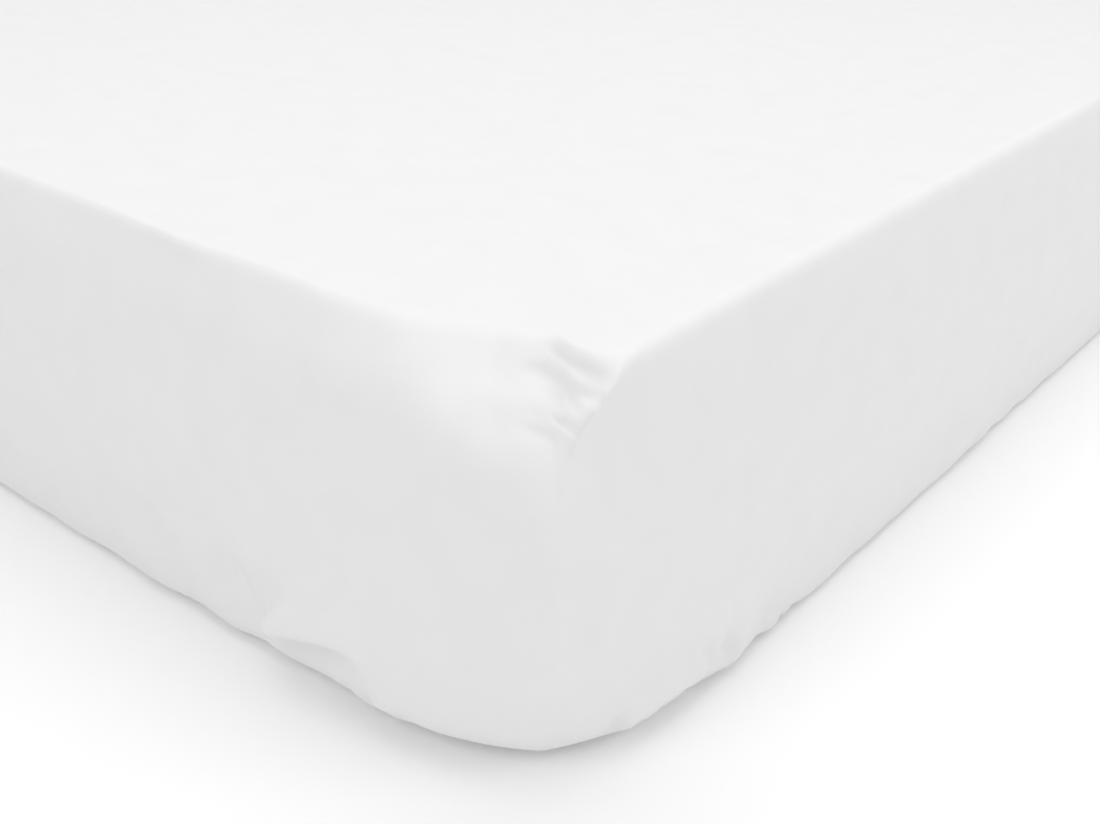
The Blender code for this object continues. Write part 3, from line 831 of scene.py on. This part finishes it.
def add_bumps(tree, shader, layers):
    """Bumps one on the other, each of a height socket, a depth in metres and a strength."""
    normal = None
    for height, depth, strength in layers:
        bump = add_node(tree, "ShaderNodeBump", {}, Height=height, Distance=depth, Strength=strength)
        if normal:
            tree.links.new(normal, bump.inputs["Normal"])
        normal = bump.outputs["Normal"]
    tree.links.new(normal, shader.inputs["Normal"])


def cotton_material(colour):
    """White percale: a fine plain weave with slightly uneven threads and soft crumpling."""
    material, tree, shader = start_material("white cotton percale", 0.85)
    shader.inputs["Sheen Weight"].default_value = 0.10
    shader.inputs["Sheen Roughness"].default_value = 0.55
    place = add_node(tree, "ShaderNodeUVMap", {"uv_map": "Cut"}).outputs["UV"]
    vary_colour(tree, shader, colour, place, 34.0, 0.985)
    crumple = add_node(
        tree, "ShaderNodeTexNoise", {}, Vector=place, Scale=14.0, Detail=2.5, Roughness=0.5,
        Distortion=0.4).outputs["Fac"]
    add_bumps(tree, shader, (
        (crumple, 0.0016, 0.10),
        (add_slubs(tree, place, SLUB_ACROSS, SLUB_ALONG), 0.00004, 0.35),
        (add_slubs(tree, place, SLUB_ALONG, SLUB_ACROSS), 0.00004, 0.35),
        (add_weave(tree, place, PERCALE_PITCH), 0.00010, 0.30),
    ))
    return material


def ticking_material(colour):
    """The mattress's cover: a close off-white twill, with the diagonal of its weave."""
    material, tree, shader = start_material("woven ticking", 0.80)
    shader.inputs["Sheen Weight"].default_value = 0.12
    place = add_node(tree, "ShaderNodeTexCoord").outputs["Object"]
    vary_colour(tree, shader, colour, place, 22.0, 0.96)
    twill = add_node(
        tree, "ShaderNodeTexWave", {"wave_type": "BANDS", "bands_direction": "DIAGONAL"},
        Vector=place, Scale=WAVE_BAND / TWILL_PITCH, Distortion=0.6, Detail=1.0)
    quilted = add_node(tree, "ShaderNodeTexNoise", {}, Vector=place, Scale=26.0, Detail=1.0)
    add_bumps(tree, shader, (
        (quilted.outputs["Fac"], 0.0012, 0.4),
        (twill.outputs["Fac"], 0.00016, 0.5),
    ))
    return material


def thread_material(colour):
    """Sewing thread: twisted, slightly shinier than the cloth."""
    material, tree, shader = start_material("sewing thread", 0.62)
    place = add_node(tree, "ShaderNodeTexCoord").outputs["Object"]
    vary_colour(tree, shader, colour, place, 60.0, 0.94)
    twist = add_node(
        tree, "ShaderNodeTexWave", {"wave_type": "BANDS", "bands_direction": "DIAGONAL"},
        Vector=place, Scale=WAVE_BAND / TWIST_PITCH, Distortion=0.0)
    add_bumps(tree, shader, ((twist.outputs["Fac"], 0.00005, 0.5),))
    return material


def floor_material(colour):
    """A plain pale floor, very slightly mottled, that glows a little by itself."""
    material, tree, shader = start_material("pale studio floor", 0.9)
    shader.inputs["Specular IOR Level"].default_value = FLOOR_SPECULAR
    shader.inputs["Emission Color"].default_value = (1.0, 1.0, 1.0, 1.0)
    shader.inputs["Emission Strength"].default_value = FLOOR_GLOW
    place = add_node(tree, "ShaderNodeTexCoord").outputs["Object"]
    vary_colour(tree, shader, colour, place, 1.5, 0.995)
    return material


class FITTEDSHEET_OT_camera(bpy.types.Operator):
    """Set the camera at the foot corner, just above the bed"""
    bl_idname = "fitted_sheet.camera"
    bl_label = "Set Camera"

    # Where the camera is, how it is turned, in radians, and what it takes in, in millimetres and metres
    place = (0.994, -1.378, 0.495)
    turn = 0.672175
    dip = 0.490067
    roll = 0.0260106
    sensor_width = 36.0
    nearest = 0.01
    farthest = 60.0

    def execute(self, context):
        camera = bpy.data.cameras.new("camera")
        camera.sensor_width = self.sensor_width
        camera.lens = context.scene.studio_settings.lens
        camera.clip_start = self.nearest
        camera.clip_end = self.farthest
        holder = bpy.data.objects.new("camera", camera)
        context.scene.collection.objects.link(holder)
        aim = Matrix.Rotation(self.turn, 4, "Z")
        aim = aim @ Matrix.Rotation(math.pi / 2 - self.dip, 4, "X")
        aim = aim @ Matrix.Rotation(self.roll, 4, "Z")
        holder.matrix_world = Matrix.Translation(self.place) @ aim
        context.scene.camera = holder
        return {"FINISHED"}


class FITTEDSHEET_OT_sheet(bpy.types.Operator):
    """Cut the cotton flat, lay it over the mattress, sew its corners and fold its hem"""
    bl_idname = "fitted_sheet.sheet"
    bl_label = "Lay Sheet"

    def execute(self, context):
        sizes = context.scene.sheet_sizes
        cloth = cut_cloth(sizes)
        mesh = bpy.data.meshes.new("cotton_sheet")
        cloth.to_mesh(mesh)
        cloth.free()
        places = np.empty(len(mesh.vertices) * 3)
        mesh.vertices.foreach_get("co", places)
        flat = places.reshape(-1, 3)[:, :2]
        corners = np.empty(len(mesh.loops), dtype=int)
        mesh.loops.foreach_get("vertex_index", corners)
        mesh.uv_layers.new(name="Cut").uv.foreach_set("vector", flat[corners].ravel())
        mesh.vertices.foreach_set("co", lay_on_mattress(flat, sizes).ravel())
        self.sew(mesh)
        piece = finish_piece(
            "cotton_sheet", mesh, cotton_material(context.scene.sheet_colours.cotton))
        thickness = piece.modifiers.new("Cloth", "SOLIDIFY")
        thickness.thickness = sizes.cloth
        thickness.offset = -1.0
        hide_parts("fitted_sheet")
        return {"FINISHED"}

    def sew(self, mesh):
        """Join the edges of the cut squares, now that they lie on each other."""
        cloth = bmesh.new()
        cloth.from_mesh(mesh)
        bmesh.ops.remove_doubles(cloth, verts=cloth.verts, dist=SEWN_WITHIN)
        cloth.to_mesh(mesh)
        cloth.free()
        mesh.shade_smooth()


class FITTEDSHEET_OT_stitches(bpy.types.Operator):
    """Run the hem's stitches round the opening, on the side that lies on the floor"""
    bl_idname = "fitted_sheet.stitches"
    bl_label = "Sew Hem"

    def execute(self, context):
        sizes = context.scene.sheet_sizes
        threads = bmesh.new()
        for ends in self.hem_lines(sizes):
            self.run(threads, self.line_places(ends, sizes))
        mesh = bpy.data.meshes.new("hem_stitches")
        threads.to_mesh(mesh)
        threads.free()
        mesh.shade_smooth()
        mesh.set_sharp_from_angle(angle=STITCH_SHARP)
        finish_piece(
            "hem_stitches", mesh, thread_material(context.scene.sheet_colours.thread))
        return {"FINISHED"}

    def hem_lines(self, sizes):
        """Start and end on the flat cut of each of the four lines of stitches."""
        out_x = sizes.width / 2
        out_y = sizes.length / 2
        past = sizes.depth + sizes.tuck - STITCH_IN
        for sign in (-1, 1):
            yield (-out_x, sign * (out_y + past)), (out_x, sign * (out_y + past))
            yield (sign * (out_x + past), -out_y), (sign * (out_x + past), out_y)

    def line_places(self, ends, sizes):
        """Points on the bed at even steps of half a stitch's pitch, from one seam to the next."""
        start, end = (np.array(place) for place in ends)
        share = np.linspace(*STITCH_LINE_ENDS, STITCH_LINE_POINTS)[:, None]
        places = lay_on_mattress(start + (end - start) * share, sizes)
        gone = np.concatenate(([0.0], np.cumsum(np.linalg.norm(np.diff(places, axis=0), axis=1))))
        count = int(gone[-1] / STITCH_PITCH) * 2
        steps = np.linspace(0.0, gone[-1], count + 1)
        return np.column_stack([np.interp(steps, gone, places[:, axis]) for axis in range(3)])

    def run(self, threads, places):
        """One stitch from each second point towards the next, lying partly in the cloth."""
        for start, end in zip(places[:-1:2], places[1::2]):
            heading = Vector(end - start).normalized()
            middle = Vector((start + end) / 2)
            middle.z -= STITCH_RADIUS * STITCH_SINKS
            turn = heading.to_track_quat("Z", "Y").to_matrix().to_4x4()
            widen = Matrix.Diagonal((STITCH_WIDENS, 1.0, 1.0, 1.0))
            stitch = bmesh.ops.create_cone(
                threads, cap_ends=True, segments=STITCH_SIDES, radius1=STITCH_RADIUS,
                radius2=STITCH_RADIUS, depth=STITCH_LENGTH,
                matrix=Matrix.Translation(middle) @ turn @ widen)["verts"]
            for vert in stitch:
                vert.co.z = max(vert.co.z, STITCH_LEAST_HEIGHT)


class FITTEDSHEET_OT_mattress(bpy.types.Operator):
    """Fill the sheet with the plain mattress, section by section"""
    bl_idname = "fitted_sheet.mattress"
    bl_label = "Fill Mattress"

    def execute(self, context):
        sizes = context.scene.sheet_sizes
        body = bmesh.new()
        rings = [self.ring(body, dict(zip(SECTIONS, section)), sizes) for section in MATTRESS_SECTIONS]
        for lower, upper in zip(rings, rings[1:]):
            bmesh.ops.bridge_loops(body, edges=lower + upper)
        for end in (rings[0], rings[-1]):
            self.close(body, end)
        bmesh.ops.recalc_face_normals(body, faces=body.faces)
        mesh = bpy.data.meshes.new("mattress_body")
        body.to_mesh(mesh)
        body.free()
        mesh.shade_smooth()
        mesh.set_sharp_from_angle(angle=MATTRESS_SHARP)
        piece = finish_piece(
            "mattress_body", mesh, ticking_material(context.scene.sheet_colours.ticking))
        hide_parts("mattress")
        return {"FINISHED"}

    def ring(self, body, row, sizes):
        """One level ring: a rectangle with round corners. Returns its edges."""
        steps = 4 * ARC_STEPS
        radius = row["radius"] * MM
        ring = bmesh.ops.create_circle(body, segments=steps, radius=radius)["verts"]
        bmesh.ops.rotate(body, verts=ring, matrix=Matrix.Rotation(math.pi / steps, 3, "Z"))
        inset = row["inset"] * MM + radius
        for vert in ring:
            vert.co.x += math.copysign(sizes.width / 2 - inset, vert.co.x)
            vert.co.y += math.copysign(sizes.length / 2 - inset, vert.co.y)
            vert.co.z = row["height"] * MM
        return list({edge for vert in ring for edge in vert.link_edges})

    def close(self, body, ring):
        """Close an end with a rim and a flat panel."""
        face = bmesh.ops.contextual_create(body, geom=ring)["faces"]
        bmesh.ops.inset_region(body, faces=face, thickness=PANEL_RIM)


class FITTEDSHEET_OT_stage(bpy.types.Operator):
    """Lay the pale floor and hang the soft lights"""
    bl_idname = "fitted_sheet.stage"
    bl_label = "Set Stage"

    # Where each light hangs, what it faces, and its width
    lamps = {
        "top lamp": ((0.0, -0.2, 3.2), (0.0, -0.2, 0.0), 3.4),
        "front lamp": ((0.6, -3.7, 2.6), (0.5, -0.9, 0.1), 2.2),
        "right lamp": ((3.4, 0.2, 2.2), (0.6, -0.4, 0.1), 2.2),
    }

    def execute(self, context):
        settings = context.scene.studio_settings
        floor = bmesh.new()
        bmesh.ops.create_grid(
            floor, x_segments=settings.floor_steps, y_segments=settings.floor_steps,
            size=settings.floor_reach, matrix=Matrix.Translation((0, 0, -FLOOR_GAP)))
        mesh = bpy.data.meshes.new("studio_floor")
        floor.to_mesh(mesh)
        floor.free()
        mesh.materials.append(floor_material(context.scene.sheet_colours.floor))
        holder = bpy.data.objects.new("studio_floor", mesh)
        context.scene.collection.objects.link(holder)
        powers = (settings.top_lamp, settings.front_lamp, settings.right_lamp)
        for (name, lamp), power in zip(self.lamps.items(), powers):
            self.hang(context, name, lamp, power)
        self.light_sky(context.scene, settings.sky)
        context.scene.view_settings.view_transform = "Standard"
        return {"FINISHED"}

    def hang(self, context, name, lamp, power):
        """One square soft light that faces its target."""
        place, target, width = lamp
        light = bpy.data.lights.new(name, "AREA")
        light.shape = "SQUARE"
        light.size = width
        light.energy = power
        holder = bpy.data.objects.new(name, light)
        aim = (Vector(target) - Vector(place)).to_track_quat("-Z", "Y").to_matrix().to_4x4()
        holder.matrix_world = Matrix.Translation(place) @ aim
        context.scene.collection.objects.link(holder)

    def light_sky(self, scene, strength):
        """Even white light from all around."""
        world = bpy.data.worlds.new("soft white")
        world.use_nodes = True
        background = world.node_tree.nodes["Background"]
        background.inputs["Color"].default_value = (1.0, 1.0, 1.0, 1.0)
        background.inputs["Strength"].default_value = strength
        scene.world = world


class FITTEDSHEET_PT_tools(bpy.types.Panel):
    """Sizes, colours and steps of the fitted sheet"""
    bl_label = "Fitted Sheet"
    bl_idname = "FITTEDSHEET_PT_tools"
    bl_space_type = "VIEW_3D"
    bl_region_type = "UI"
    bl_category = "Fitted Sheet"

    def draw(self, context):
        scene = context.scene
        for group in (scene.sheet_sizes, scene.sheet_colours, scene.studio_settings):
            box = self.layout.box()
            for name in group.bl_rna.properties.keys():
                if name not in ("rna_type", "name"):
                    box.prop(group, name)
        for step in STEPS:
            self.layout.operator(step.bl_idname)


GROUPS = {
    "sheet_sizes": SheetSizes,
    "sheet_colours": SheetColours,
    "studio_settings": StudioSettings,
}
STEPS = (
    FITTEDSHEET_OT_camera,
    FITTEDSHEET_OT_mattress,
    FITTEDSHEET_OT_stitches,
    FITTEDSHEET_OT_sheet,
    FITTEDSHEET_OT_stage,
)


def register():
    for name, group in GROUPS.items():
        bpy.utils.register_class(group)
        setattr(bpy.types.Scene, name, PointerProperty(type=group))
    for entry in (*STEPS, FITTEDSHEET_PT_tools):
        bpy.utils.register_class(entry)


def unregister():
    for entry in (FITTEDSHEET_PT_tools, *reversed(STEPS)):
        bpy.utils.unregister_class(entry)
    for name, group in GROUPS.items():
        delattr(bpy.types.Scene, name)
        bpy.utils.unregister_class(group)


def main():
    """Make everything in order."""
    register()
    bpy.ops.fitted_sheet.camera()
    bpy.ops.fitted_sheet.mattress()
    bpy.ops.fitted_sheet.stitches()
    bpy.ops.fitted_sheet.sheet()
    bpy.ops.fitted_sheet.stage()


if __name__ == "__main__":
    main()
